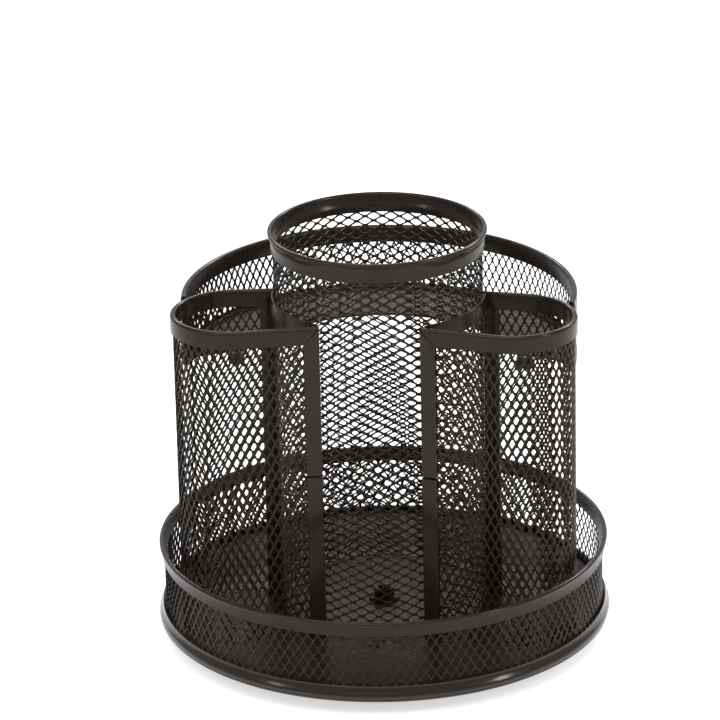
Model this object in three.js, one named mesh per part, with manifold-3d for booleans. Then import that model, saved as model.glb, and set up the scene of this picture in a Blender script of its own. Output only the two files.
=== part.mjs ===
// Rotating desk organizer: a round mesh tray on a thrust ball bearing, with a tall
// cup in the middle, two leaf shaped pockets in front and a raised mesh shelf behind.
// Millimetres, +Z up. The origin is on the table, on the turning axis, and -Y is the front.
import * as THREE from "three";
import { mergeVertices } from "three/addons/utils/BufferGeometryUtils.js";
import Module from "manifold-3d";

// ---- driving dimensions ----
const GAP = 0.3; // clearance left between pieces that touch in the real object
const SHEET = 0.5; // thickness of the expanded metal walls
const CHANNEL = 2.2; // overall thickness of the folded edge channels
const CHANNEL_SLOT = SHEET + 2 * GAP; // width of the slot that holds the sheet
const CHANNEL_H = 6.2; // height of the channel along a pocket's top edge
const CHANNEL_SLOT_H = 4; // how far the sheet reaches into that channel
const CHANNEL_WEB = 1; // thickness of a post's closed end
const POST_W = 5.5; // width of the upright channels

const FLOOR_R = 77.9; // tray floor
const FLOOR_BOTTOM = 8.2;
const FLOOR_TOP = 9;
const WALL_FOOT = FLOOR_TOP + GAP; // where every wall stands on the floor

const TRAY_WALL_R = 77.15; // middle of the tray's wall sheet
const TRAY_BAND_BOTTOM = 29.2;
const TRAY_BAND_INNER_BOTTOM = 30.4;
const TRAY_SLOT_TOP = 31.6;
const TRAY_RIM_R = 79.1;
const TRAY_RIM_TOP = 34.8;

const CUP_WALL_R = 36; // middle of the cup's wall sheet
const CUP_BAND_BOTTOM = 141.3;
const CUP_BAND_INNER_BOTTOM = 142.2; // the band's inner face is shorter than its outer one
const CUP_SLOT_TOP = 144.4;
const CUP_RIM_R = 38;
const CUP_RIM_TOP = 148.5;

const BAND_FOLD = 0.4; // thickness of a rim band's folded faces
const BEAD_R = 0.9; // rolled bead along a rim band's top
const BEAD_LEAN_H = 2.4; // height over which both faces lean out to the bead

const POCKET_TOP = 124.6; // top edge of the pockets and of the rear shelf's wall
const POST_JOINT_Z = 69.9; // joint between the two halves of a front post
const POST_JOINT_GAP = 0.8;
const POCKET_FRONT_CORNER_R = 38.1;
const POCKET_FRONT_CORNER_DEG = -63.2;
const POCKET_SIDE_CORNER_R = 36.9;
const POCKET_SIDE_CORNER_DEG = 4;
const CUP_BAND_THICK = 0.7; // flat band that ties a pocket's two corners round the cup
const CUP_BAND_START_DEG = 0.6;
const CUP_BAND_END_DEG = -59.7;
const POCKET_TIP_X = 48.4; // centre of the pocket's rounded outer end
const POCKET_TIP_Y = -19.8;
const POCKET_TIP_R = 20.6;

const SHELF_WALL_R = 67.7; // middle of the rear shelf's wall sheet
const SHELF_Y = 2; // the shelf's arc is centred this far behind the turning axis
const SHELF_END_DEG = -7.4; // the shelf's wall butts on the pockets' tips here
const SHELF_BOTTOM = 99.4; // the shelf's floor hangs high above the tray
const SHELF_TOP = 100.2;
const SHELF_EDGE_BOTTOM = 98.8; // folded channel round the floor's edge, which holds the wall
const SHELF_SLOT_BOTTOM = 100;
const SHELF_EDGE_OUTER_TOP = 102.2;
const SHELF_EDGE_INNER_TOP = 101.6;
const SHELF_EDGE_LEG = 0.4;
const SHELF_SLOT_HALF = 0.6;
const SHELF_EDGE_SEGMENTS = 74;
const SHELF_FRONT_R = 25; // the floor's front edges follow the pockets' round tips
const SHELF_FRONT_DEG = 45;
const SHELF_FLOOR_END_DEG = -4;
const SHELF_TAB_IN_X = 47.5; // tabs that reach the pockets' back walls and turn down
const SHELF_TAB_OUT_X = 53.5;
const SHELF_TAB_Y = 1.8;
const SHELF_TAB_BOTTOM = 96.2;
const SHELF_SIDE_Y = 10; // where the floor's inner edge turns in toward the cup
const SHELF_CUP_R = 44; // the floor's round cut-out behind the cup
const SHELF_CUP_DEG = 22;

const PAD_R = 7; // rubber pads under the base
const PAD_TOP = 1.7;
const PAD_CIRCLE_R = 49;
const BASE_R = 60;
const BASE_BOTTOM = PAD_TOP + GAP;
const BASE_TOP = 3;

const RACE_IN_R = 29; // both bearing races are the same ring, one turned over
const RACE_OUT_R = 44;
const RACE_H = 1;
const LOWER_RACE_BOTTOM = BASE_TOP + GAP;
const UPPER_RACE_TOP = FLOOR_BOTTOM - GAP;
const GROOVE_DEPTH = 0.6;
const GROOVE_HALF_BOTTOM = 0.8;
const GROOVE_HALF_TOP = 1.5;
const BALL_CIRCLE_R = 34;
const BALL_R = 1.6;
const BALL_Z = (LOWER_RACE_BOTTOM + UPPER_RACE_TOP) / 2;
const BALL_COUNT = 12;
const CAGE_IN_R = 30;
const CAGE_OUT_R = 38;
const CAGE_H = 1;
const CAGE_HOLE_R = BALL_R + GAP;

const RIVET_COUNT = 3;
const RIVET_CIRCLE_R = 41.4;
const RIVET_SHANK_R = 1;
const RIVET_HEAD_R = 1.9;
const RIVET_HEAD_H = 0.6;
const RIVET_HOLE_R = RIVET_SHANK_R + GAP;
const UPPER_RIVET_TURN_DEG = 30;
const LOWER_RIVET_TURN_DEG = 90;

const PIVOT_R = 2; // pivot bolt, held by the base
const PIVOT_HOLE_R = PIVOT_R + GAP;
const PIVOT_HEAD_R = 4.2;
const PIVOT_HEAD_BOTTOM = 0.5;
const WASHER_R = 5.6;
const WASHER_H = 0.8;
const NUT_ACROSS_CORNERS_R = 4;
const NUT_H = 2.8;
const PIVOT_TOP = 14.4;

const RING_SEGMENTS = 60;
const CUP_SEGMENTS = 40;
const SMALL_SEGMENTS = 16;

// ---- materials ----
const paint = { color: 0x1d1a18, roughness: 0.42, metalness: 0.55 };
const meshPaint = { color: 0x191716, roughness: 0.5, metalness: 0.5 };
const floorPaint = { color: 0x24201e, roughness: 0.5, metalness: 0.5 };
const steel = { color: 0x8d8f92, roughness: 0.35, metalness: 1 };
const rubber = { color: 0x151515, roughness: 0.9, metalness: 0 };
const nylon = { color: 0xd8d6cf, roughness: 0.55, metalness: 0 };

const wasm = await Module();
wasm.setup();

const rad = THREE.MathUtils.degToRad;
const organizer = new THREE.Group();

function add(name, geometry, look, x = 0, y = 0, z = 0) {
  const mesh = new THREE.Mesh(geometry, new THREE.MeshStandardMaterial(look));
  mesh.name = name;
  mesh.position.set(x, y, z);
  organizer.add(mesh);
  return mesh;
}

// ---- solids ----
function toSolid(geometry) {
  const bare = geometry.index ? geometry.toNonIndexed() : geometry.clone();
  bare.deleteAttribute("normal");
  bare.deleteAttribute("uv");
  const merged = mergeVertices(bare, 1e-4);
  return new wasm.Manifold(new wasm.Mesh({
    numProp: 3,
    vertProperties: new Float32Array(merged.attributes.position.array),
    triVerts: new Uint32Array(merged.index.array),
  }));
}

function toGeometry(solid) {
  const mesh = solid.getMesh();
  const geometry = new THREE.BufferGeometry();
  geometry.setAttribute("position", new THREE.BufferAttribute(mesh.vertProperties, 3));
  geometry.setIndex(new THREE.BufferAttribute(mesh.triVerts, 1));
  geometry.computeVertexNormals();
  return geometry;
}

function join(...geometries) {
  return toGeometry(geometries.map(toSolid).reduce((solid, more) => solid.add(more)));
}

function subtract(geometry, ...cutters) {
  return toGeometry(cutters.reduce((solid, cut) => solid.subtract(toSolid(cut)), toSolid(geometry)));
}

// A ring turned about Z from a closed profile of [radius, height] points.
function turned(profile, segments) {
  const closed = [...profile, profile[0]].map(([r, z]) => new THREE.Vector2(r, z));
  return new THREE.LatheGeometry(closed, segments).rotateX(Math.PI / 2);
}

function ring(inner, outer, bottom, top, segments) {
  return turned([[inner, bottom], [outer, bottom], [outer, top], [inner, top]], segments);
}

function disc(radius, bottom, top, segments) {
  const geometry = new THREE.CylinderGeometry(radius, radius, top - bottom, segments);
  return geometry.rotateX(Math.PI / 2).translate(0, 0, (top + bottom) / 2);
}

// ---- wall outlines in plan ----
function onCircle(radius, degrees, x = 0, y = 0) {
  return new THREE.Vector2(x + radius * Math.cos(rad(degrees)), y + radius * Math.sin(rad(degrees)));
}

function arc(radius, fromDeg, toDeg, steps, x = 0, y = 0) {
  return Array.from({ length: steps + 1 }, (_, i) =>
    onCircle(radius, fromDeg + ((toDeg - fromDeg) * i) / steps, x, y));
}

// Angle at the circle's centre where the tangent from a point outside touches it.
function tangentDegrees(point, side) {
  const dx = point.x - POCKET_TIP_X;
  const dy = point.y - POCKET_TIP_Y;
  const spread = Math.acos(POCKET_TIP_R / Math.hypot(dx, dy));
  return THREE.MathUtils.radToDeg(Math.atan2(dy, dx) + side * spread);
}

// Right pocket's outer wall: straight front, round tip, straight back, ending at the cup.
function pocketPath() {
  const front = onCircle(POCKET_FRONT_CORNER_R, POCKET_FRONT_CORNER_DEG);
  const side = onCircle(POCKET_SIDE_CORNER_R, POCKET_SIDE_CORNER_DEG);
  const from = tangentDegrees(front, 1);
  const to = tangentDegrees(side, -1);
  const sweep = (to - from + 720) % 360;
  const tip = arc(POCKET_TIP_R, from, from + sweep, 22, POCKET_TIP_X, POCKET_TIP_Y);
  return [front, ...tip, side];
}

function mirrored(points) {
  return points.map((p) => new THREE.Vector2(-p.x, p.y)).reverse();
}

function pathLength(points) {
  return points.slice(1).reduce((sum, p, i) => sum + p.distanceTo(points[i]), 0);
}

// The part of an open path between two distances measured along it.
function portion(points, from, to) {
  const kept = [];
  let walked = 0;
  for (let i = 1; i < points.length; i += 1) {
    const step = points[i].distanceTo(points[i - 1]);
    const at = (s) => points[i - 1].clone().lerp(points[i], (s - walked) / step);
    if (from >= walked && from < walked + step) kept.push(at(from));
    if (walked + step > from && walked + step < to) kept.push(points[i].clone());
    if (to > walked && to <= walked + step) kept.push(at(to));
    walked += step;
  }
  return kept;
}

// The same path moved sideways, with mitred corners.
function offset(points, distance) {
  return points.map((p, i) => {
    const before = i > 0 ? p.clone().sub(points[i - 1]).normalize() : null;
    const after = i < points.length - 1 ? points[i + 1].clone().sub(p).normalize() : null;
    const a = before ?? after;
    const b = after ?? before;
    const normal = new THREE.Vector2(a.y + b.y, -a.x - b.x).normalize();
    const stretch = 1 / (normal.x * a.y - normal.y * a.x);
    return p.clone().addScaledVector(normal, distance * stretch);
  });
}

// A flat plate with the given outline.
function plate(outline, bottom, top) {
  const shape = new THREE.Shape(outline);
  const geometry = new THREE.ExtrudeGeometry(shape, { depth: top - bottom, bevelEnabled: false });
  return geometry.translate(0, 0, bottom);
}

// A wall of even thickness that follows a path.
function wall(points, thickness, bottom, top) {
  const outline = [...offset(points, thickness / 2), ...offset(points, -thickness / 2).reverse()];
  return plate(outline, bottom, top);
}

// Folded channel that caps the top edge of a wall, open underneath.
function topChannel(points) {
  const bottom = POCKET_TOP - CHANNEL_H;
  const slotTop = bottom + CHANNEL_SLOT_H;
  const length = pathLength(points);
  const slotPath = portion(points, CHANNEL_WEB, length - CHANNEL_WEB);
  return subtract(
    wall(points, CHANNEL, bottom, POCKET_TOP),
    wall(slotPath, CHANNEL_SLOT, bottom - 1, slotTop),
  );
}

// Upright channel over the end of a wall: the slot opens toward the wall.
function post(points, fromEnd, bottom, top) {
  const length = pathLength(points);
  const body = fromEnd ? portion(points, length - POST_W, length) : portion(points, 0, POST_W);
  const slot = fromEnd
    ? portion(points, length - POST_W - 1, length - CHANNEL_WEB)
    : portion(points, CHANNEL_WEB, POST_W + 1);
  return subtract(
    wall(body, CHANNEL, bottom, top),
    wall(slot, CHANNEL_SLOT, bottom - 1, top + 1),
  );
}

const CHANNEL_BOTTOM = POCKET_TOP - CHANNEL_H;
const SHEET_TOP = CHANNEL_BOTTOM + CHANNEL_SLOT_H - GAP;
const SHEET_INSET = CHANNEL_WEB + GAP; // a sheet stops short of its posts' closed ends
const POST_TOP = CHANNEL_BOTTOM - GAP;

function sheet(points, foot) {
  const inner = portion(points, SHEET_INSET, pathLength(points) - SHEET_INSET);
  return wall(inner, SHEET, foot, SHEET_TOP);
}

// ---- tray ----
function holesAt(count, circleR, holeR, turnDeg) {
  return Array.from({ length: count }, (_, i) => {
    const p = onCircle(circleR, turnDeg + (360 * i) / count);
    return disc(holeR, -5, 20, SMALL_SEGMENTS).translate(p.x, p.y, 0);
  });
}

const pivotHole = disc(PIVOT_HOLE_R, -5, 20, SMALL_SEGMENTS);
const upperRivetHoles = holesAt(RIVET_COUNT, RIVET_CIRCLE_R, RIVET_HOLE_R, UPPER_RIVET_TURN_DEG);
const lowerRivetHoles = holesAt(RIVET_COUNT, RIVET_CIRCLE_R, RIVET_HOLE_R, LOWER_RIVET_TURN_DEG);

add("tray_floor",
  subtract(disc(FLOOR_R, FLOOR_BOTTOM, FLOOR_TOP, RING_SEGMENTS), pivotHole, ...upperRivetHoles),
  floorPaint);

// Rolled bottom ring: a curled sheet that flares out and turns under.
const bottomRing = [
  [78.5, 11.1], [77.75, 11.1], [77.75, 9.9], [78.25, 9.1], [78.85, 8.1], [79, 7.3], [78.7, 6.5],
  [77.9, 6], [76.9, 6], [76.6, 5.6], [77, 5.2], [78.3, 5.2], [79.4, 5.8], [79.85, 6.9],
  [79.85, 7.7], [79.2, 9.3],
];
add("tray_bottom_ring", turned(bottomRing, RING_SEGMENTS), paint);

add("tray_wall_mesh",
  ring(TRAY_WALL_R - SHEET / 2, TRAY_WALL_R + SHEET / 2, WALL_FOOT, TRAY_SLOT_TOP - GAP, RING_SEGMENTS),
  meshPaint);

// A folded band, slotted underneath for the sheet, whose faces lean out to a round bead.
function rimBand(sheetR, outerBottom, innerBottom, slotTop, beadOuterR, top) {
  const slot = CHANNEL_SLOT / 2;
  const face = slot + BAND_FOLD;
  const beadR = beadOuterR - BEAD_R;
  const beadZ = top - BEAD_R;
  const bead = arc(BEAD_R, -75, 135, 6, beadR, beadZ).map((p) => [p.x, p.y]);
  return [
    [sheetR - face, innerBottom], [sheetR - slot, innerBottom], [sheetR - slot, slotTop],
    [sheetR + slot, slotTop], [sheetR + slot, outerBottom], [sheetR + face, outerBottom],
    [sheetR + face, beadZ - BEAD_LEAN_H], ...bead,
    [sheetR - face, beadZ - BEAD_LEAN_H],
  ];
}

const trayBand = rimBand(TRAY_WALL_R, TRAY_BAND_BOTTOM, TRAY_BAND_INNER_BOTTOM, TRAY_SLOT_TOP,
  TRAY_RIM_R, TRAY_RIM_TOP);
add("tray_rim_band", turned(trayBand, RING_SEGMENTS), paint);

// ---- centre cup ----
add("cup_wall_mesh",
  ring(CUP_WALL_R - SHEET / 2, CUP_WALL_R + SHEET / 2, WALL_FOOT, CUP_SLOT_TOP - GAP, CUP_SEGMENTS),
  meshPaint);
const cupBand = rimBand(CUP_WALL_R, CUP_BAND_BOTTOM, CUP_BAND_INNER_BOTTOM, CUP_SLOT_TOP,
  CUP_RIM_R, CUP_RIM_TOP);
add("cup_rim_band", turned(cupBand, CUP_SEGMENTS), paint);

// ---- front pockets ----
const rightOuter = pocketPath();
const cupBandR = CUP_WALL_R + SHEET / 2 + GAP + CUP_BAND_THICK / 2;
const rightHug = arc(cupBandR, CUP_BAND_START_DEG, CUP_BAND_END_DEG, 12);
const pockets = {
  right: { outer: rightOuter, hug: rightHug, frontAtEnd: false },
  left: { outer: mirrored(rightOuter), hug: mirrored(rightHug), frontAtEnd: true },
};
for (const [side, { outer, hug, frontAtEnd }] of Object.entries(pockets)) {
  const name = (piece) => `${side}_pocket_${piece}`;
  add(name("mesh"), sheet(outer, WALL_FOOT), meshPaint);
  add(name("rim"), topChannel(outer), paint);
  add(name("cup_band"), wall(hug, CUP_BAND_THICK, CHANNEL_BOTTOM, POCKET_TOP), paint);
  const lowerTop = POST_JOINT_Z - POST_JOINT_GAP / 2;
  add(name("front_post_lower"), post(outer, frontAtEnd, WALL_FOOT, lowerTop), paint);
  add(name("front_post_upper"), post(outer, frontAtEnd, lowerTop + POST_JOINT_GAP, POST_TOP), paint);
  add(name("side_post"), post(outer, !frontAtEnd, WALL_FOOT, POST_TOP), paint);
}

// ---- rear shelf ----
// Plan of the shelf's floor: a crescent behind the cup with a square tab at each front end.
function shelfOutline() {
  const tabDeg = THREE.MathUtils.radToDeg(Math.acos((SHELF_TAB_OUT_X - POCKET_TIP_X) / SHELF_FRONT_R));
  const front = [
    ...arc(SHELF_FRONT_R, SHELF_FRONT_DEG, tabDeg, 6, POCKET_TIP_X, POCKET_TIP_Y),
    new THREE.Vector2(SHELF_TAB_OUT_X, SHELF_TAB_Y),
    new THREE.Vector2(SHELF_TAB_IN_X, SHELF_TAB_Y),
    new THREE.Vector2(SHELF_TAB_IN_X, SHELF_SIDE_Y),
  ];
  const cutOut = arc(SHELF_CUP_R, SHELF_CUP_DEG, 180 - SHELF_CUP_DEG, 16);
  const rear = arc(SHELF_WALL_R, 180 - SHELF_FLOOR_END_DEG, SHELF_FLOOR_END_DEG, 40, 0, SHELF_Y);
  return [...front, ...cutOut, ...mirrored(front), ...rear];
}

// The channel round the shelf's outer edge, in section: the wall stands in its slot.
function shelfEdge() {
  const slotIn = SHELF_WALL_R - SHELF_SLOT_HALF;
  const slotOut = SHELF_WALL_R + SHELF_SLOT_HALF;
  const legIn = slotIn - SHELF_EDGE_LEG;
  const legOut = slotOut + SHELF_EDGE_LEG;
  const whole = turned([
    [legIn, SHELF_EDGE_BOTTOM], [legOut, SHELF_EDGE_BOTTOM], [legOut, SHELF_EDGE_OUTER_TOP],
    [slotOut, SHELF_EDGE_OUTER_TOP], [slotOut, SHELF_SLOT_BOTTOM], [slotIn, SHELF_SLOT_BOTTOM],
    [slotIn, SHELF_EDGE_INNER_TOP], [legIn, SHELF_EDGE_INNER_TOP],
  ], SHELF_EDGE_SEGMENTS);
  const front = arc(2 * SHELF_WALL_R, 180 - SHELF_END_DEG, 360 + SHELF_END_DEG, 4);
  const frontWedge = plate([new THREE.Vector2(0, 0), ...front], 0, POCKET_TOP);
  return subtract(whole, frontWedge).translate(0, SHELF_Y, 0);
}

// The part of a tab that is turned down against a pocket's back wall.
function shelfTab(side) {
  const inset = 0.2;
  const y = SHELF_TAB_Y + inset + SHELF_EDGE_LEG;
  const ends = [SHELF_TAB_IN_X + inset, SHELF_TAB_OUT_X - inset].map((x) => new THREE.Vector2(side * x, y));
  const inFloor = (SHELF_BOTTOM + SHELF_TOP) / 2;
  return wall(side > 0 ? ends : ends.reverse(), 2 * SHELF_EDGE_LEG, SHELF_TAB_BOTTOM, inFloor);
}

const shelfFloor = plate(shelfOutline(), SHELF_BOTTOM, SHELF_TOP);
add("rear_shelf_floor", join(shelfFloor, shelfEdge(), shelfTab(1), shelfTab(-1)), floorPaint);

const shelfWall = arc(SHELF_WALL_R, SHELF_END_DEG, 180 - SHELF_END_DEG, 40, 0, SHELF_Y);
const shelfPostBottom = SHELF_EDGE_OUTER_TOP + GAP;
add("rear_shelf_mesh", sheet(shelfWall, SHELF_TOP + GAP), meshPaint);
add("rear_shelf_rim", topChannel(shelfWall), paint);
add("rear_shelf_right_post", post(shelfWall, false, shelfPostBottom, POST_TOP), paint);
add("rear_shelf_left_post", post(shelfWall, true, shelfPostBottom, POST_TOP), paint);

// ---- base ----
add("base_plate",
  subtract(disc(BASE_R, BASE_BOTTOM, BASE_TOP, CUP_SEGMENTS), pivotHole, ...lowerRivetHoles),
  paint);
for (let i = 0; i < 4; i += 1) {
  const p = onCircle(PAD_CIRCLE_R, 45 + 90 * i);
  add(`rubber_pad_${i + 1}`, disc(PAD_R, 0, PAD_TOP, 20), rubber, p.x, p.y);
}

// ---- bearing ----
function race(plate, face, up) {
  const groove = face - up * GROOVE_DEPTH;
  const profile = [
    [RACE_IN_R, plate], [RACE_OUT_R, plate], [RACE_OUT_R, face],
    [BALL_CIRCLE_R + GROOVE_HALF_TOP, face], [BALL_CIRCLE_R + GROOVE_HALF_BOTTOM, groove],
    [BALL_CIRCLE_R - GROOVE_HALF_BOTTOM, groove], [BALL_CIRCLE_R - GROOVE_HALF_TOP, face],
    [RACE_IN_R, face],
  ];
  return turned(up > 0 ? profile : profile.reverse(), CUP_SEGMENTS);
}

add("lower_bearing_race",
  subtract(race(LOWER_RACE_BOTTOM, LOWER_RACE_BOTTOM + RACE_H, 1), ...lowerRivetHoles), steel);
add("upper_bearing_race",
  subtract(race(UPPER_RACE_TOP, UPPER_RACE_TOP - RACE_H, -1), ...upperRivetHoles), steel);
add("bearing_cage",
  subtract(
    ring(CAGE_IN_R, CAGE_OUT_R, BALL_Z - CAGE_H / 2, BALL_Z + CAGE_H / 2, CUP_SEGMENTS),
    ...holesAt(BALL_COUNT, BALL_CIRCLE_R, CAGE_HOLE_R, 0),
  ), nylon);
for (let i = 0; i < BALL_COUNT; i += 1) {
  const p = onCircle(BALL_CIRCLE_R, (360 * i) / BALL_COUNT);
  add(`bearing_ball_${i + 1}`, new THREE.SphereGeometry(BALL_R, 10, 7), steel, p.x, p.y, BALL_Z);
}

// ---- rivets and pivot ----
function rivet(bottom, top) {
  return turned([
    [0, bottom - RIVET_HEAD_H], [RIVET_HEAD_R, bottom - RIVET_HEAD_H], [RIVET_HEAD_R, bottom],
    [RIVET_SHANK_R, bottom], [RIVET_SHANK_R, top], [RIVET_HEAD_R, top],
    [RIVET_HEAD_R * 0.6, top + RIVET_HEAD_H], [0, top + RIVET_HEAD_H],
  ], SMALL_SEGMENTS);
}

for (let i = 0; i < RIVET_COUNT; i += 1) {
  const upper = onCircle(RIVET_CIRCLE_R, UPPER_RIVET_TURN_DEG + (360 * i) / RIVET_COUNT);
  const lower = onCircle(RIVET_CIRCLE_R, LOWER_RIVET_TURN_DEG + (360 * i) / RIVET_COUNT);
  const upperBottom = UPPER_RACE_TOP - RACE_H - GAP;
  const lowerTop = LOWER_RACE_BOTTOM + RACE_H + GAP;
  add(`tray_rivet_${i + 1}`, rivet(upperBottom, FLOOR_TOP + GAP), paint, upper.x, upper.y);
  add(`base_rivet_${i + 1}`, rivet(BASE_BOTTOM - GAP, lowerTop), steel, lower.x, lower.y);
}

const headTop = BASE_BOTTOM - GAP;
add("pivot_bolt", turned([
  [0, PIVOT_HEAD_BOTTOM], [PIVOT_HEAD_R, PIVOT_HEAD_BOTTOM], [PIVOT_HEAD_R, headTop],
  [PIVOT_R, headTop], [PIVOT_R, PIVOT_TOP], [0, PIVOT_TOP],
], SMALL_SEGMENTS), paint);
const washerBottom = FLOOR_TOP + GAP;
add("pivot_washer",
  ring(PIVOT_HOLE_R, WASHER_R, washerBottom, washerBottom + WASHER_H, SMALL_SEGMENTS), paint);
const nutBottom = washerBottom + WASHER_H + GAP;
add("pivot_nut",
  subtract(disc(NUT_ACROSS_CORNERS_R, nutBottom, nutBottom + NUT_H, 6), pivotHole), paint);

export default organizer;
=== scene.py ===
"""Rotating mesh desk organizer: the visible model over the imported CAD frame. Metres, +Z up."""
import math

import bpy
import numpy as np
from mathutils import Matrix, Vector


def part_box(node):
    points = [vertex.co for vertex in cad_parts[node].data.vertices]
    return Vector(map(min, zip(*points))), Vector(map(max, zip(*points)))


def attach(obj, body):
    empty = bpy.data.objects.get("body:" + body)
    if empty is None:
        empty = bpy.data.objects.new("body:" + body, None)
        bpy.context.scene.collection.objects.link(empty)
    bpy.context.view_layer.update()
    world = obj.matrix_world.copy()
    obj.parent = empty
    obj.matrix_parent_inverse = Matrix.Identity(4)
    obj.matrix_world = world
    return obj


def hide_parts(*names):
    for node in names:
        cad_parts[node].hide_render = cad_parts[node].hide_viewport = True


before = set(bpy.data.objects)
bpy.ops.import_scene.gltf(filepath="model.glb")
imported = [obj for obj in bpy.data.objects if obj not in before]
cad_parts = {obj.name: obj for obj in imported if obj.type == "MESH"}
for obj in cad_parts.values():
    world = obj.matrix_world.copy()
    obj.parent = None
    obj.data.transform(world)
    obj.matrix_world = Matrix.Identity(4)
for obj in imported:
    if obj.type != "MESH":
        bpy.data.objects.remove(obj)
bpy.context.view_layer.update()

MM = 0.001

# ---- sizes taken from the CAD nodes, in millimetres ----


def node_box(name):
    low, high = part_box(name)
    return np.array(low) / MM, np.array(high) / MM


WALL_FOOT = node_box("cup_wall_mesh")[0][2]
TRAY_WALL_R = node_box("tray_wall_mesh")[1][0] - 0.25
TRAY_WALL_TOP = node_box("tray_wall_mesh")[1][2]
TRAY_BAND_BOTTOM = node_box("tray_rim_band")[0][2]
TRAY_RIM_TOP = node_box("tray_rim_band")[1][2]
TRAY_RIM_R = node_box("tray_rim_band")[1][0]
CUP_WALL_R = node_box("cup_wall_mesh")[1][0] - 0.25
CUP_WALL_TOP = node_box("cup_wall_mesh")[1][2]
CUP_BAND_BOTTOM = node_box("cup_rim_band")[0][2]
CUP_RIM_TOP = node_box("cup_rim_band")[1][2]
CUP_RIM_R = node_box("cup_rim_band")[1][0]
POCKET_TOP = node_box("rear_shelf_rim")[1][2]
CHANNEL_BOTTOM = node_box("rear_shelf_rim")[0][2]
SHEET_TOP = node_box("rear_shelf_mesh")[1][2]
SHELF_MESH_FOOT = node_box("rear_shelf_mesh")[0][2]
SHELF_POST_FOOT = node_box("rear_shelf_right_post")[0][2]
POST_JOINT_LOW = node_box("right_pocket_front_post_lower")[1][2]
POST_JOINT_HIGH = node_box("right_pocket_front_post_upper")[0][2]

# ---- sizes shared with the CAD outline of the pockets and the shelf ----
FRONT_CORNER_R, FRONT_CORNER_DEG = 38.1, -63.2
SIDE_CORNER_R, SIDE_CORNER_DEG = 36.3, 4
TIP_X, TIP_Y, TIP_R = 48.4, -19.8, 20.6
CUP_BAND_R, CUP_BAND_HALF = 36.9, 0.35
CUP_BAND_FROM_DEG, CUP_BAND_TO_DEG = 0.6, -59.7
SHELF_R, SHELF_Y, SHELF_END_DEG = 67.7, 2, -7.4
SHELF_FLOOR_LOW, SHELF_FLOOR_HIGH = 99.4, 100.2
SHELF_FRONT_R, SHELF_FRONT_FROM, SHELF_FLOOR_FROM = 25, 45, -4
SHELF_TAB_IN, SHELF_TAB_OUT, SHELF_TAB_Y, SHELF_TAB_LOW = 47.5, 53.5, 1.8, 96.2
SHELF_TAB_THICK, SHELF_TAB_INSET = 0.8, 0.2
SHELF_SIDE_Y, SHELF_CUP_R, SHELF_CUP_DEG = 10, 44, 22
SHELF_FOLD_LOW, SHELF_FOLD_OUTER_TOP, SHELF_FOLD_INNER_TOP = 98.8, 102.2, 101.6
SHELF_FOLD_HALF, SHELF_SLOT_HALF, SHELF_SLOT_FOOT = 1.0, 0.6, 100
SOFT_EDGE = 0.1  # corners taken off folded sheet
TRAY_BAND_STEP, CUP_BAND_STEP = 1.2, 0.9  # how much higher a rim band's inner face ends
BAND_SLOT_GAP = 0.3  # from the mesh's top edge to the fold above it
CHANNEL_HALF = 1.1
CHANNEL_SHEET = 0.5
POST_W = 5.5
WEB = 1.1  # a post's closed end
MESH_INSET = 1.4  # from a post's outer edge to the mesh in its slot
NOSE_DEPTH = 0.45  # how far the closed end bulges
MITRE_GAP = 0.12
SEAM_W = 0.25  # butt joints in the pocket rims
SEAM_DEPTH = 0.06
BACK_SEAM = 12  # from the cup post to the joint in the back of a pocket's rim

# ---- expanded metal: cells are (width along the wall, height) ----
CUP_CELL = (6.05, 3.35)
POCKET_CELL = (3.05, 5.85)
TRAY_CELL = (3.5, 5.5)
CUP_STRAND = 0.47  # widths of the strands
POCKET_STRAND = 0.60
SHELF_STRAND = 0.44
TRAY_STRAND = 0.50
TIP_CUT = 0.22  # how much of an opening's pointed ends is filled
SIDE_CUT = 0.13  # and of its blunt corners
SHEET_T = 0.36
STRAND_TILT = 0.09
EDGE_MARGIN = 0.3


# ---- plan curves ----
def on_circle(radius, degrees, x=0.0, y=0.0):
    a = np.radians(degrees)
    return np.stack([x + radius * np.cos(a), y + radius * np.sin(a)], axis=-1)


def arc(radius, from_deg, to_deg, step_mm=0.6, x=0.0, y=0.0):
    count = max(2, math.ceil(abs(math.radians(to_deg - from_deg)) * radius / step_mm))
    return on_circle(radius, np.linspace(from_deg, to_deg, count + 1), x, y)


def tangent_degrees(point, side):
    dx, dy = point[0] - TIP_X, point[1] - TIP_Y
    spread = math.acos(TIP_R / math.hypot(dx, dy))
    return math.degrees(math.atan2(dy, dx) + side * spread)


def pocket_outline():
    """Right pocket's outer wall: straight front, round tip, straight back to the cup."""
    front = on_circle(FRONT_CORNER_R, FRONT_CORNER_DEG)
    side = on_circle(SIDE_CORNER_R, SIDE_CORNER_DEG)
    start = tangent_degrees(front, 1)
    sweep = (tangent_degrees(side, -1) - start) % 360
    tip = arc(TIP_R, start, start + sweep, x=TIP_X, y=TIP_Y)
    return np.vstack([front, tip, side])


def mirrored(points):
    return (points * [-1, 1])[::-1]


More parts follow.
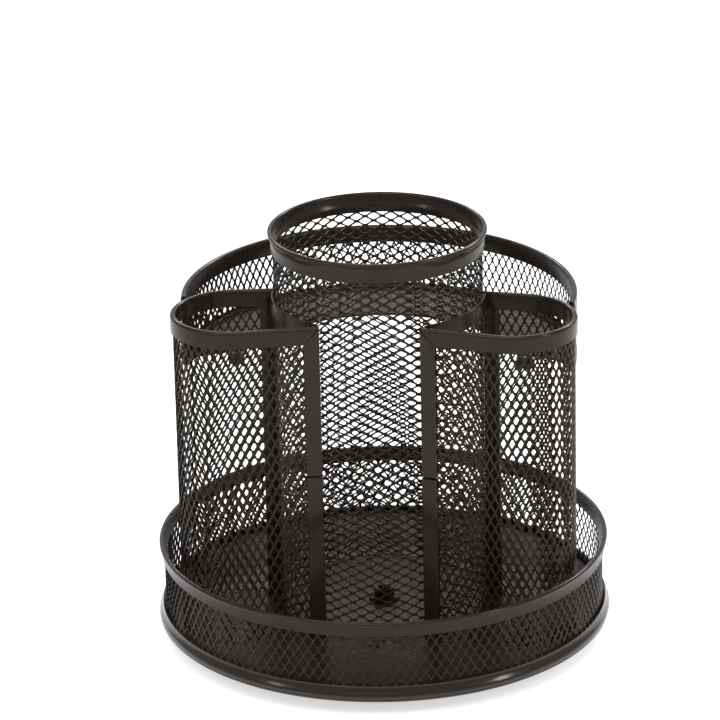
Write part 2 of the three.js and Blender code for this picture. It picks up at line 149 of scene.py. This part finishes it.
class Path:
    """A plan curve measured by the distance along it. Its outer side is on the right."""

    def __init__(self, points):
        self.points = points
        steps = np.diff(points, axis=0)
        lengths = np.hypot(steps[:, 0], steps[:, 1])
        self.s = np.concatenate([[0], np.cumsum(lengths)])
        self.length = self.s[-1]
        tangents = steps / lengths[:, None]
        joined = np.vstack([tangents[:1], tangents[1:] + tangents[:-1], tangents[-1:]])
        joined /= np.hypot(joined[:, 0], joined[:, 1])[:, None]
        self.normals = np.stack([joined[:, 1], -joined[:, 0]], axis=-1)

    def at(self, s, out, z):
        """Points at distance s, moved out of the wall by `out`, at height z."""
        s, out, z = np.broadcast_arrays(s, out, z)
        x, y = (np.interp(s, self.s, self.points[:, k]) for k in (0, 1))
        nx, ny = (np.interp(s, self.s, self.normals[:, k]) for k in (0, 1))
        return np.stack([x + nx * out, y + ny * out, z], axis=-1)

    def stations(self, start, end):
        inside = self.s[(self.s > start + 0.05) & (self.s < end - 0.05)]
        return np.concatenate([[start], inside, [end]])


class Circle:
    """A closed round wall with the same calls as Path."""

    def __init__(self, radius):
        self.radius = radius
        self.length = 2 * math.pi * radius

    def at(self, s, out, z):
        s, out, z = np.broadcast_arrays(s, out, z)
        a = s / self.radius
        return np.stack([(self.radius + out) * np.cos(a), (self.radius + out) * np.sin(a), z], axis=-1)


# ---- materials ----
def new_material(name):
    material = bpy.data.materials.new(name)
    material.use_nodes = True
    tree = material.node_tree
    return material, tree, tree.nodes["Principled BSDF"]


def noise(tree, scale_mm, detail=3.0, roughness=0.5):
    """Noise in the object's own space whose grains are about scale_mm across."""
    place = tree.nodes.new("ShaderNodeTexCoord")
    texture = tree.nodes.new("ShaderNodeTexNoise")
    texture.inputs["Scale"].default_value = 1 / (scale_mm * MM)
    texture.inputs["Detail"].default_value = detail
    texture.inputs["Roughness"].default_value = roughness
    tree.links.new(place.outputs["Object"], texture.inputs["Vector"])
    return texture.outputs["Fac"]


def ramp(tree, value, stops):
    """Colour or grey ramp over a value: stops are (position, rgb)."""
    node = tree.nodes.new("ShaderNodeValToRGB")
    while len(node.color_ramp.elements) < len(stops):
        node.color_ramp.elements.new(0.5)
    for element, (position, colour) in zip(node.color_ramp.elements, stops):
        element.position = position
        element.color = (*colour, 1)
    tree.links.new(value, node.inputs["Fac"])
    return node.outputs["Color"]


def grey(value):
    return (value, value, value)


def bump(tree, shader, height, strength, distance_mm):
    node = tree.nodes.new("ShaderNodeBump")
    node.inputs["Strength"].default_value = strength
    node.inputs["Distance"].default_value = distance_mm * MM
    tree.links.new(height, node.inputs["Height"])
    tree.links.new(node.outputs["Normal"], shader.inputs["Normal"])


def painted(name, dark, light, rough_low, rough_high, peel_mm, specular, coat=0.0):
    """Powder coat: fine orange peel, faint mottling and uneven gloss."""
    material, tree, shader = new_material(name)
    shader.inputs["Specular IOR Level"].default_value = specular
    shader.inputs["Specular Tint"].default_value = (*WARM_SHEEN, 1)
    mottle = noise(tree, 9.0, detail=4)
    tree.links.new(ramp(tree, mottle, [(0.3, dark), (0.7, light)]), shader.inputs["Base Color"])
    gloss = noise(tree, 3.0, detail=3)
    rough = ramp(tree, gloss, [(0.3, grey(rough_low)), (0.7, grey(rough_high))])
    tree.links.new(rough, shader.inputs["Roughness"])
    shader.inputs["Coat Weight"].default_value = coat
    shader.inputs["Coat Roughness"].default_value = 0.12
    bump(tree, shader, noise(tree, peel_mm, detail=2), 0.25, 0.05)
    return material


def plated(name, dark, light, rough_low, rough_high):
    """Bright zinc plate with fine brushing and dull patches."""
    material, tree, shader = new_material(name)
    shader.inputs["Metallic"].default_value = 1.0
    patches = noise(tree, 2.5, detail=4)
    tree.links.new(ramp(tree, patches, [(0.3, dark), (0.7, light)]), shader.inputs["Base Color"])
    fine = noise(tree, 0.4, detail=2)
    rough = ramp(tree, fine, [(0.3, grey(rough_low)), (0.7, grey(rough_high))])
    tree.links.new(rough, shader.inputs["Roughness"])
    bump(tree, shader, fine, 0.15, 0.02)
    return material


def moulded(name, dark, light, rough_low, rough_high, grain_mm):
    material, tree, shader = new_material(name)
    grain = noise(tree, grain_mm, detail=4)
    tree.links.new(ramp(tree, grain, [(0.3, dark), (0.7, light)]), shader.inputs["Base Color"])
    rough = ramp(tree, grain, [(0.3, grey(rough_low)), (0.7, grey(rough_high))])
    tree.links.new(rough, shader.inputs["Roughness"])
    bump(tree, shader, grain, 0.3, 0.05)
    return material


WARM_SHEEN = (1.0, 0.87, 0.78)  # tint of the paint's reflections
BAND_PAINT = painted("band_paint", (0.0088, 0.0064, 0.0051), (0.0125, 0.0094, 0.0076),
                     0.24, 0.34, 0.9, 0.15, 0.20)
RING_PAINT = painted("ring_paint", (0.0070, 0.0054, 0.0045), (0.0098, 0.0076, 0.0064),
                     0.16, 0.24, 1.2, 0.22, 0.34)
MESH_PAINT = painted("mesh_paint", (0.0090, 0.0070, 0.0058), (0.0135, 0.0106, 0.0089),
                     0.28, 0.42, 0.7, 0.18)
FLOOR_PAINT = painted("floor_paint", (0.0085, 0.0066, 0.0054), (0.0130, 0.0103, 0.0086),
                      0.24, 0.34, 1.1, 0.21)
# The shelf floor has the same black paint as the rest, with a base colour about three times lighter:
# painted light for its top lit from above.
SHELF_LIT_PAINT = painted("shelf_lit_paint", (0.030, 0.0240, 0.0205), (0.042, 0.0340, 0.0295),
                      0.24, 0.34, 1.1, 0.40)
ZINC = plated("zinc_plate", (0.42, 0.43, 0.45), (0.60, 0.61, 0.62), 0.22, 0.40)
NYLON = moulded("nylon", (0.66, 0.64, 0.58), (0.78, 0.76, 0.71), 0.45, 0.60, 1.5)
RUBBER = moulded("rubber", (0.010, 0.010, 0.010), (0.022, 0.021, 0.020), 0.75, 0.92, 0.6)


# ---- mesh building ----
def make(name, vertices, faces, material, slot, nodes, body="turntable", sharp_deg=35):
    """A piece from points in millimetres that stands for the named CAD nodes."""
    mesh = bpy.data.meshes.new(name)
    mesh.from_pydata((np.asarray(vertices) * MM).tolist(), [], faces)
    mesh.validate()
    mesh.materials.append(material)
    mesh.shade_smooth()
    mesh.set_sharp_from_angle(angle=math.radians(sharp_deg))
    piece = bpy.data.objects.new(name, mesh)
    bpy.context.scene.collection.objects.link(piece)
    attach(piece, body)
    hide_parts(*nodes)
    return piece


def smooth_line(points, steps=6):
    """Catmull-Rom curve through the points."""
    p = np.asarray(points, float)
    p = np.vstack([2 * p[0] - p[1], p, 2 * p[-1] - p[-2]])
    out = []
    for a, b, c, d in zip(p, p[1:], p[2:], p[3:]):
        for t in np.arange(steps) / steps:
            curve = 2 * b + (c - a) * t + (2 * a - 5 * b + 4 * c - d) * t**2
            out.append((curve + (3 * b - a - 3 * c + d) * t**3) / 2)
    out.append(p[-2])
    return np.array(out)


def half_round(x, z, radius, from_deg, to_deg, steps=10):
    a = np.radians(np.linspace(from_deg, to_deg, steps + 1))
    return np.stack([x + radius * np.cos(a), z + radius * np.sin(a)], axis=-1)


def grid_faces(rows, columns, wrap_rows=False, wrap_columns=False):
    """Quads over a rows x columns grid of vertices."""
    last_row = rows if wrap_rows else rows - 1
    last_column = columns if wrap_columns else columns - 1
    faces = []
    for i in range(last_row):
        for j in range(last_column):
            i2, j2 = (i + 1) % rows, (j + 1) % columns
            faces.append((i * columns + j, i2 * columns + j, i2 * columns + j2, i * columns + j2))
    return faces


def lathe(name, profile, segments, material, slot, nodes, body="turntable", **options):
    """A ring turned about Z from a closed profile of (radius, z)."""
    profile = np.asarray(profile)
    angles = np.arange(segments) * 2 * math.pi / segments
    r, z = profile[:, 0], profile[:, 1]
    x = np.cos(angles)[:, None] * r
    y = np.sin(angles)[:, None] * r
    vertices = np.stack([x, y, np.broadcast_to(z, x.shape)], axis=-1).reshape(-1, 3)
    faces = grid_faces(segments, len(profile), wrap_rows=True, wrap_columns=True)
    return make(name, vertices, faces, material, slot, nodes, body, **options)


def expanded_metal(name, wall, s_range, z_range, cell_size, strand, nodes):
    """Diamond mesh of slightly twisted strands, one cell for each opening."""
    closed = isinstance(wall, Circle)
    pitch_s, pitch_z = cell_size
    upright = pitch_z > pitch_s
    s_low, s_high = s_range
    z_low, z_high = z_range
    if closed:
        pitch_s = wall.length / round(wall.length / pitch_s)
    half_s, half_z = pitch_s / 2, pitch_z / 2
    # Openings sit on a staggered grid.
    columns = np.arange(0, round((s_high - s_low) / half_s) + (0 if closed else 2))
    rows = np.arange(0, int((z_high - z_low) / half_z) + 2)
    ci, ri = np.meshgrid(columns, rows, indexing="ij")
    keep = (ci + ri) % 2 == 0
    s0 = s_low + ci[keep] * half_s
    z0 = z_low + ri[keep] * half_z
    inside = (z0 > z_low - half_z / 2) & (z0 < z_high + half_z / 2)
    if not closed:
        inside &= (s0 > s_low - half_s / 2) & (s0 < s_high + half_s / 2)
    s0, z0 = s0[inside], z0[inside]

    # The opening is the cell shrunk by half a strand, with its four corners cut off.
    reach = half_s * half_z / math.hypot(half_s, half_z)
    shrink = 1 - strand / 2 / reach
    hole = []
    for ks, kz in ((1, 0), (0, 1), (-1, 0), (0, -1)):
        cut = TIP_CUT if bool(kz) == upright else SIDE_CUT
        for turn in (-1, 1):
            corner = np.array([ks, kz]) * (1 - cut)
            aside = np.array([-kz, ks]) * turn * cut
            hole.append((corner + aside) * shrink)
    hole = np.array(hole) * [half_s, half_z]
    cell = np.array([[half_s, 0], [0, half_z], [-half_s, 0], [0, -half_z]])

    # Strands lean: one long side of each opening stands out and the other in.
    lean = -np.sign(np.round(hole[:, 0] if upright else hole[:, 1], 6)) * STRAND_TILT
    lean = np.concatenate([np.zeros(len(cell)), lean])
    local = np.vstack([cell, hole])
    s = s0[:, None] + local[:, 0]
    z = z0[:, None] + local[:, 1]
    margin = np.concatenate([np.zeros(len(cell)), np.full(len(hole), EDGE_MARGIN)])
    z = np.clip(z, z_low + margin, z_high - margin)
    if not closed:
        s = np.clip(s, s_low + margin, s_high - margin)
    front = wall.at(s, lean + SHEET_T / 2, z)
    back = wall.at(s, lean - SHEET_T / 2, z)
    vertices = np.concatenate([front, back], axis=1).reshape(-1, 3)

    # Each cell has its corners, then its opening's points, in front and then again behind.
    corners, rim, side = len(cell), len(hole), len(local)
    pattern = []
    for k in range(corners):
        here = corners + 2 * k
        there = here + 1
        after = corners + (2 * k + 2) % rim
        following = (k + 1) % corners
        pattern.append((k, there, here))
        pattern.append((k, following, after, there))
        pattern.append((k + side, here + side, there + side))
        pattern.append((k + side, there + side, after + side, following + side))
    for k in range(rim):
        a, b = corners + k, corners + (k + 1) % rim
        pattern.append((a, b, b + side, a + side))
    faces = []
    for first in range(0, len(vertices), 2 * side):
        faces.extend(tuple(v + first for v in face) for face in pattern)
    return make(name, vertices, faces, MESH_PAINT, "mesh_paint", nodes)


def channel_profile():
    """Folded sheet in the shape of an upside-down U: (out, height above its foot)."""
    height = POCKET_TOP - CHANNEL_BOTTOM
    inner = CHANNEL_HALF - CHANNEL_SHEET
    over = half_round(0, height - CHANNEL_HALF, CHANNEL_HALF, 0, 180)
    under = half_round(0, height - CHANNEL_HALF, inner, 180, 0)
    outer_foot = [(CHANNEL_HALF - SOFT_EDGE, 0), (CHANNEL_HALF, SOFT_EDGE)]
    inner_foot = [(-CHANNEL_HALF, SOFT_EDGE), (SOFT_EDGE - CHANNEL_HALF, 0)]
    return np.vstack([outer_foot, over, inner_foot, [(-inner, 0)], under, [(inner, 0)]])


def rim_channel(name, path, mitred_start, mitred_end, seams, nodes):
    """The channel on a wall's top edge. A mitred end slopes to meet its post."""
    profile = channel_profile()
    out, height = profile[:, 0], profile[:, 1]
    slope = POST_W * (1 - height / (POCKET_TOP - CHANNEL_BOTTOM))
    first = POST_W if mitred_start else 0
    last = path.length - (POST_W if mitred_end else 0)
    s_list = path.stations(first, last)
    dents = np.zeros(len(s_list))
    for seam in seams:
        s_list = np.concatenate([s_list, seam + SEAM_W * np.array([-1, 0, 1])])
        dents = np.concatenate([dents, [0, SEAM_DEPTH, 0]])
    order = np.argsort(s_list)
    rings = [(np.full(len(profile), s), dent) for s, dent in zip(s_list[order], dents[order])]
    if mitred_start:
        rings.insert(0, (slope, 0))
    if mitred_end:
        rings.append((path.length - slope, 0))
    top = POCKET_TOP - CHANNEL_BOTTOM
    vertices = np.vstack([
        path.at(s, out * (1 - dent), CHANNEL_BOTTOM + height - dent * (height > top / 2))
        for s, dent in rings
    ])
    count = len(profile)
    faces = grid_faces(len(rings), count, wrap_columns=True)
    faces.append(tuple(range(count - 1, -1, -1)))
    faces.append(tuple(range(len(vertices) - count, len(vertices))))
    return make(name, vertices, faces, BAND_PAINT, "black_paint", nodes)


def strip(name, path, half, z_low, z_high, nodes):
    """A flat band with softened edges that follows a path."""
    soft = half * 0.6
    out = np.array([half - soft, half, half, half - soft, soft - half, -half, -half, soft - half])
    z = np.array([z_low, z_low + soft, z_high - soft, z_high, z_high, z_high - soft, z_low + soft, z_low])
    rings = path.stations(0, path.length)
    vertices = np.vstack([path.at(s, out, z) for s in rings])
    faces = grid_faces(len(rings), len(out), wrap_columns=True)
    faces.append(tuple(range(len(out) - 1, -1, -1)))
    faces.append(tuple(range(len(vertices) - len(out), len(vertices))))
    return make(name, vertices, faces, BAND_PAINT, "black_paint", nodes)


def post(name, path, start, inward, z_low, z_high, mitred, nodes):
    """An upright channel over a wall's end. inward is +1 where the wall runs on along the path."""
    inner = CHANNEL_HALF - CHANNEL_SHEET
    turn = np.linspace(0, np.pi, 11)
    nose = np.stack([NOSE_DEPTH * (1 - np.sin(turn)), CHANNEL_HALF * np.cos(turn)], axis=-1)
    soft_w, soft_half = POST_W - SOFT_EDGE, CHANNEL_HALF - SOFT_EDGE
    ring = np.vstack([
        [(soft_w, CHANNEL_HALF)], nose, [(soft_w, -CHANNEL_HALF), (POST_W, -soft_half)],
        [(POST_W, -inner), (WEB, -inner), (WEB, inner), (POST_W, inner), (POST_W, soft_half)],
    ])
    along, out = ring[:, 0], ring[:, 1]
    top = np.full(len(ring), z_high)
    if mitred:
        top = CHANNEL_BOTTOM + (POCKET_TOP - CHANNEL_BOTTOM) * (1 - along / POST_W) - MITRE_GAP
        dome = np.sqrt(np.maximum(CHANNEL_HALF**2 - out**2, 0))
        top = np.minimum(top, POCKET_TOP - CHANNEL_HALF + dome)
    s = start + inward * along
    vertices = np.vstack([path.at(s, out, z_low), path.at(s, out, top)])
    count = len(ring)
    faces = [(i, (i + 1) % count, (i + 1) % count + count, i + count) for i in range(count)]
    faces.append(tuple(range(count - 1, -1, -1)))
    faces.append(tuple(range(count, 2 * count)))
    if inward < 0:
        faces = [tuple(reversed(face)) for face in faces]
    return make(name, vertices, faces, BAND_PAINT, "black_paint", nodes, sharp_deg=30)


# ---- tray and cup ----
def rolled_band(radius, bottom, inner_bottom, slot_top, bead_outer_r, top):
    """Folded band whose faces lean out to a round bead. The inner face is the shorter one."""
    face, slot_half = 0.95, 0.55
    bead = 0.9
    bead_r, bead_z = bead_outer_r - bead, top - bead
    outside = smooth_line([
        (radius + face, bottom + 0.15), (radius + face, bead_z - 3), (radius + face + 0.1, bead_z - 1.9),
        (bead_r + 0.1, bead_z - bead - 0.1),
    ], 5)[:-1]
    lip = half_round(bead_r, bead_z, bead, -78, 165, 16)
    inside = smooth_line([
        (bead_r - bead - 0.05, bead_z - 0.4), (radius - face + 0.55, slot_top + 0.9),
        (radius - face, slot_top - 0.4), (radius - face, inner_bottom + 0.15),
    ], 5)
    foot = [
        (radius - face + 0.12, inner_bottom), (radius - slot_half, inner_bottom),
        (radius - slot_half, slot_top), (radius + slot_half, slot_top), (radius + slot_half, bottom),
        (radius + face - 0.12, bottom),
    ]
    return np.vstack([outside, lip, inside, foot])


expanded_metal("tray_wall_diamonds", Circle(TRAY_WALL_R), (0, 2 * math.pi * TRAY_WALL_R),
               (WALL_FOOT, TRAY_WALL_TOP), TRAY_CELL, TRAY_STRAND, ["tray_wall_mesh"])
tray_band = rolled_band(TRAY_WALL_R, TRAY_BAND_BOTTOM, TRAY_BAND_BOTTOM + TRAY_BAND_STEP,
                        TRAY_WALL_TOP + BAND_SLOT_GAP, TRAY_RIM_R, TRAY_RIM_TOP)
lathe("tray_rim", tray_band, 240, BAND_PAINT, "black_paint", ["tray_rim_band"])
expanded_metal("cup_wall_diamonds", Circle(CUP_WALL_R), (0, 2 * math.pi * CUP_WALL_R),
               (WALL_FOOT, CUP_WALL_TOP), CUP_CELL, CUP_STRAND, ["cup_wall_mesh"])
cup_band = rolled_band(CUP_WALL_R, CUP_BAND_BOTTOM, CUP_BAND_BOTTOM + CUP_BAND_STEP,
                       CUP_WALL_TOP + BAND_SLOT_GAP, CUP_RIM_R, CUP_RIM_TOP)
lathe("cup_rim", cup_band, 160, BAND_PAINT, "black_paint", ["cup_rim_band"])

# The bottom ring leans out to a shoulder, then turns under in a rounded foot.
ring_outside = smooth_line([
    (78.5, 11.1), (78.7, 10.2), (79.15, 9.2), (79.65, 8.3), (79.85, 7.4), (79.55, 6.8),
], 5)
ring_foot = smooth_line([(79.55, 6.7), (79.55, 6.1), (78.9, 5.4), (77.9, 5.2), (76.9, 5.4)], 5)
ring_inside = smooth_line([
    (76.8, 5.8), (77.6, 5.85), (78.4, 6.1), (78.95, 6.8), (78.95, 7.7), (78.6, 8.5), (78.25, 9.2),
    (77.9, 10), (77.75, 11),
], 5)
lathe("bottom_ring", np.vstack([ring_outside, ring_foot, ring_inside]), 240, RING_PAINT, "black_paint",
      ["tray_bottom_ring"], sharp_deg=50)

# ---- pockets and shelf ----
right_outline = pocket_outline()
right_hug = arc(CUP_BAND_R, CUP_BAND_FROM_DEG, CUP_BAND_TO_DEG)
front_seam = np.hypot(*(right_outline[1] - right_outline[0]))
for side, outline, hug in (
    ("right", right_outline, right_hug),
    ("left", mirrored(right_outline), mirrored(right_hug)),
):
    path = Path(outline)
    front_start, front_way = (0, 1) if side == "right" else (path.length, -1)
    back_start = path.length - front_start
    seams = [front_start + front_way * front_seam, back_start - front_way * BACK_SEAM]
    span = (MESH_INSET, path.length - MESH_INSET)
    node = f"{side}_pocket_"
    expanded_metal(f"{side}_pocket_diamonds", path, span, (WALL_FOOT, SHEET_TOP), POCKET_CELL,
                   POCKET_STRAND, [node + "mesh"])
    rim_channel(f"{side}_pocket_channel", path, True, True, seams, [node + "rim"])
    strip(f"{side}_cup_band", Path(hug), CUP_BAND_HALF, CHANNEL_BOTTOM, POCKET_TOP, [node + "cup_band"])
    post(f"{side}_front_post_low", path, front_start, front_way, WALL_FOOT, POST_JOINT_LOW, False,
         [node + "front_post_lower"])
    post(f"{side}_front_post_high", path, front_start, front_way, POST_JOINT_HIGH, 0, True,
         [node + "front_post_upper"])
    post(f"{side}_cup_post", path, back_start, -front_way, WALL_FOOT, 0, True, [node + "side_post"])

shelf_wall = Path(arc(SHELF_R, SHELF_END_DEG, 180 - SHELF_END_DEG, y=SHELF_Y))
expanded_metal("shelf_diamonds", shelf_wall, (MESH_INSET, shelf_wall.length - MESH_INSET),
               (SHELF_MESH_FOOT, SHEET_TOP), POCKET_CELL, SHELF_STRAND, ["rear_shelf_mesh"])
rim_channel("shelf_rim", shelf_wall, True, True, [shelf_wall.length / 2], ["rear_shelf_rim"])
post("shelf_right_post", shelf_wall, 0, 1, SHELF_POST_FOOT, 0, True, ["rear_shelf_right_post"])
post("shelf_left_post", shelf_wall, shelf_wall.length, -1, SHELF_POST_FOOT, 0, True,
     ["rear_shelf_left_post"])


def shelf_floor():
    """Crescent floor with two turned down tabs, and the folded channel that holds the wall."""
    tab_deg = math.degrees(math.acos((SHELF_TAB_OUT - TIP_X) / SHELF_FRONT_R))
    right = np.vstack([
        arc(SHELF_FRONT_R, SHELF_FRONT_FROM, tab_deg, x=TIP_X, y=TIP_Y),
        [(SHELF_TAB_OUT, SHELF_TAB_Y), (SHELF_TAB_IN, SHELF_TAB_Y), (SHELF_TAB_IN, SHELF_SIDE_Y)],
    ])
    cut_out = arc(SHELF_CUP_R, SHELF_CUP_DEG, 180 - SHELF_CUP_DEG)
    rear = arc(SHELF_R, 180 - SHELF_FLOOR_FROM, SHELF_FLOOR_FROM, y=SHELF_Y)
    outline = np.vstack([right, cut_out, mirrored(right), rear])
    vertices, faces = [], []

    def add_loops(loops):
        """A solid skinned over loops of equal length, with its two ends capped."""
        first = len(vertices)
        count = len(loops[0])
        for loop in loops:
            vertices.extend(loop)
        for face in grid_faces(len(loops), count, wrap_columns=True):
            faces.append(tuple(v + first for v in face))
        last = first + (len(loops) - 1) * count
        faces.append(tuple(range(first + count - 1, first - 1, -1)))
        faces.append(tuple(range(last, last + count)))

    def level(points, z):
        return np.column_stack([points, np.full(len(points), z)])

    add_loops([level(outline, SHELF_FLOOR_LOW), level(outline, SHELF_FLOOR_HIGH)])
    front = SHELF_TAB_Y + SHELF_TAB_INSET
    back = front + SHELF_TAB_THICK
    for way in (1, -1):
        sides = (way * (SHELF_TAB_IN + SHELF_TAB_INSET), way * (SHELF_TAB_OUT - SHELF_TAB_INSET))
        tab = np.array([(min(sides), front), (max(sides), front), (max(sides), back), (min(sides), back)])
        tab_top = (SHELF_FLOOR_LOW + SHELF_FLOOR_HIGH) / 2
        add_loops([level(tab, SHELF_TAB_LOW), level(tab, tab_top)])
    half, slot, soft = SHELF_FOLD_HALF, SHELF_SLOT_HALF, SOFT_EDGE
    outer_top, inner_top = SHELF_FOLD_OUTER_TOP, SHELF_FOLD_INNER_TOP
    under = half_round(0, SHELF_FOLD_LOW + half, half, 200, 340)
    section = np.vstack([
        under,
        [(half, outer_top - soft), (half - soft, outer_top), (slot + soft, outer_top)],
        [(slot, outer_top - soft), (slot, SHELF_SLOT_FOOT), (-slot, SHELF_SLOT_FOOT)],
        [(-slot, inner_top - soft), (-slot - soft, inner_top), (soft - half, inner_top)],
        [(-half, inner_top - soft)],
    ])
    stations = shelf_wall.stations(0, shelf_wall.length)
    add_loops([shelf_wall.at(s, section[:, 0], section[:, 1]) for s in stations])
    make("shelf_floor", vertices, faces, SHELF_LIT_PAINT, "floor_paint", ["rear_shelf_floor"])


shelf_floor()

# ---- CAD nodes that stay, with their own materials ----
KEPT = {
    "tray_floor": FLOOR_PAINT, "base_plate": FLOOR_PAINT, "bearing_cage": NYLON,
    "rubber_pad": RUBBER, "bearing_ball": ZINC, "bearing_race": ZINC, "base_rivet": ZINC,
    "tray_rivet": BAND_PAINT, "pivot": BAND_PAINT,
}
for name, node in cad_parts.items():
    for key, material in KEPT.items():
        if key in name:
            node.data.materials.clear()
            node.data.materials.append(material)

# ---- stage ----
floor_mesh = bpy.data.meshes.new("studio_floor")
STUDIO_REACH = 6.0
corners = [(sx * STUDIO_REACH, sy * STUDIO_REACH, 0) for sx, sy in ((-1, -1), (1, -1), (1, 1), (-1, 1))]
floor_mesh.from_pydata(corners, [], [(0, 1, 2, 3)])
floor_object = bpy.data.objects.new("studio_floor", floor_mesh)
bpy.context.scene.collection.objects.link(floor_object)
floor_material, _, floor_shader = new_material("studio_white")
floor_shader.inputs["Base Color"].default_value = (0.70, 0.70, 0.70, 1)
floor_shader.inputs["Roughness"].default_value = 0.9
floor_shader.inputs["Specular IOR Level"].default_value = 0.1
floor_shader.inputs["Emission Color"].default_value = (1, 1, 1, 1)
floor_shader.inputs["Emission Strength"].default_value = 0.60
floor_mesh.materials.append(floor_material)

world = bpy.data.worlds.new("studio")
bpy.context.scene.world = world
world.use_nodes = True
world.node_tree.nodes["Background"].inputs["Color"].default_value = (1, 0.96, 0.92, 1)
world.node_tree.nodes["Background"].inputs["Strength"].default_value = 0.62


def area_light(name, place, target, size, power):
    data = bpy.data.lights.new(name, "AREA")
    data.shape = "RECTANGLE"
    data.size, data.size_y = size
    data.energy = power
    light = bpy.data.objects.new(name, data)
    light.location = place
    light.rotation_euler = (Vector(target) - Vector(place)).to_track_quat("-Z", "Y").to_euler()
    bpy.context.scene.collection.objects.link(light)


sun = bpy.data.objects.new("soft_sun", bpy.data.lights.new("soft_sun", "SUN"))
sun.data.energy = 1.35
sun.data.angle = math.radians(50)
sun.rotation_euler = Vector((0.10, 0.50, -1)).to_track_quat("-Z", "Y").to_euler()
bpy.context.scene.collection.objects.link(sun)
area_light("left_strip", (-1.0, -0.8, 0.9), (0, 0, 0.08), (0.16, 0.7), 2.4)
area_light("right_strip", (1.1, -0.5, 0.8), (0, 0, 0.08), (0.16, 0.7), 5)
area_light("back_strip", (0.2, 1.3, 1.1), (0, 0, 0.08), (2.4, 0.24), 20)

# ---- camera at the photograph's angle ----
VIEW_TURN_DEG = 5.8
VIEW_ELEVATION_DEG = 21.3
VIEW_ROLL_DEG = -1.25
VIEW_DISTANCE = 1.567
VIEW_LENS_MM = 225
VIEW_TARGET = (-0.00685, 0, 0.09955)

camera_data = bpy.data.cameras.new("photo_camera")
camera_data.sensor_width = 36
camera_data.lens = VIEW_LENS_MM
camera = bpy.data.objects.new("photo_camera", camera_data)
bpy.context.scene.collection.objects.link(camera)
elevation = math.radians(VIEW_ELEVATION_DEG)
turn = Matrix.Rotation(math.radians(VIEW_TURN_DEG), 4, "Z")
back = Vector((0, -math.cos(elevation), math.sin(elevation)))
look = (-back).to_track_quat("-Z", "Y").to_matrix().to_4x4()
roll = Matrix.Rotation(math.radians(VIEW_ROLL_DEG), 4, "Z")
camera.matrix_world = turn @ Matrix.Translation(Vector(VIEW_TARGET) + back * VIEW_DISTANCE) @ look @ roll
bpy.context.scene.camera = camera
bpy.context.scene.view_settings.view_transform = "Standard"
